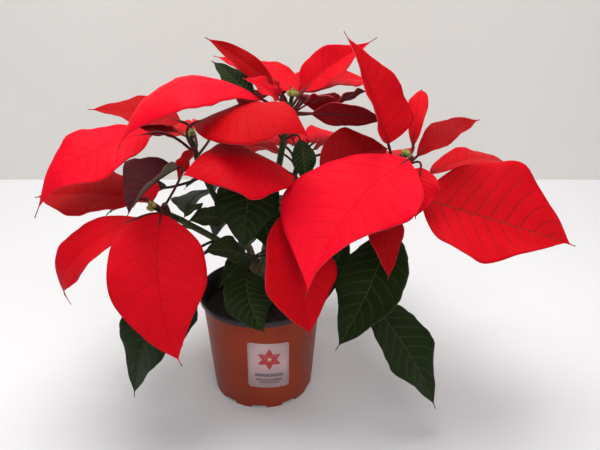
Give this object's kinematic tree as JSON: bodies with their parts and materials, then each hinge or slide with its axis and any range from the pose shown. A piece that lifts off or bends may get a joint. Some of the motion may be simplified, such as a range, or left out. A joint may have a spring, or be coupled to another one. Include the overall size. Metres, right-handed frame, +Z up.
{
  "type": "potted poinsettia",
  "caption": "Bushy red-bracted poinsettia on forked stems with lobed green leaves, growing in a tapered plastic pot.",
  "frame": {"origin": "middle of the pot's flat foot, which stands on the surface", "axes": "+Z up along the pot's axis; -Y towards the plant's best side, the side that carries the largest front bracts; +X to the right of it"},
  "size_m": [0.4634, 0.3129, 0.3464],
  "materials": {
    "pot": "satin terracotta-coloured injection-moulded plastic",
    "peat": "rough dark damp peat",
    "bark": "dull green-brown bark",
    "green_leaf": "dark green leaf with a soft sheen",
    "red_bract": "velvety saturated red bract",
    "purple_leaf": "dark purple half-coloured leaf",
    "bud": "waxy yellow-green buds"
  },
  "bodies": {
    "root": {"pot": "pot", "soil": "peat", "stem": "bark", "purple_leaf": "purple_leaf", "shoot_centre": "green_leaf", "bracts_centre": "red_bract", "cyathia_centre": "bud", "shoot_right": "green_leaf", "bracts_right": "red_bract", "cyathia_right": "bud", "shoot_upper_left": "green_leaf", "bracts_upper_left": "red_bract", "cyathia_upper_left": "bud", "shoot_lower_left": "green_leaf", "bracts_lower_left": "red_bract", "cyathia_lower_left": "bud", "shoot_front": "green_leaf", "bracts_front": "red_bract", "cyathia_front": "bud", "shoot_back": "green_leaf", "bracts_back": "red_bract", "cyathia_back": "bud"}
  },
  "joints": []
}
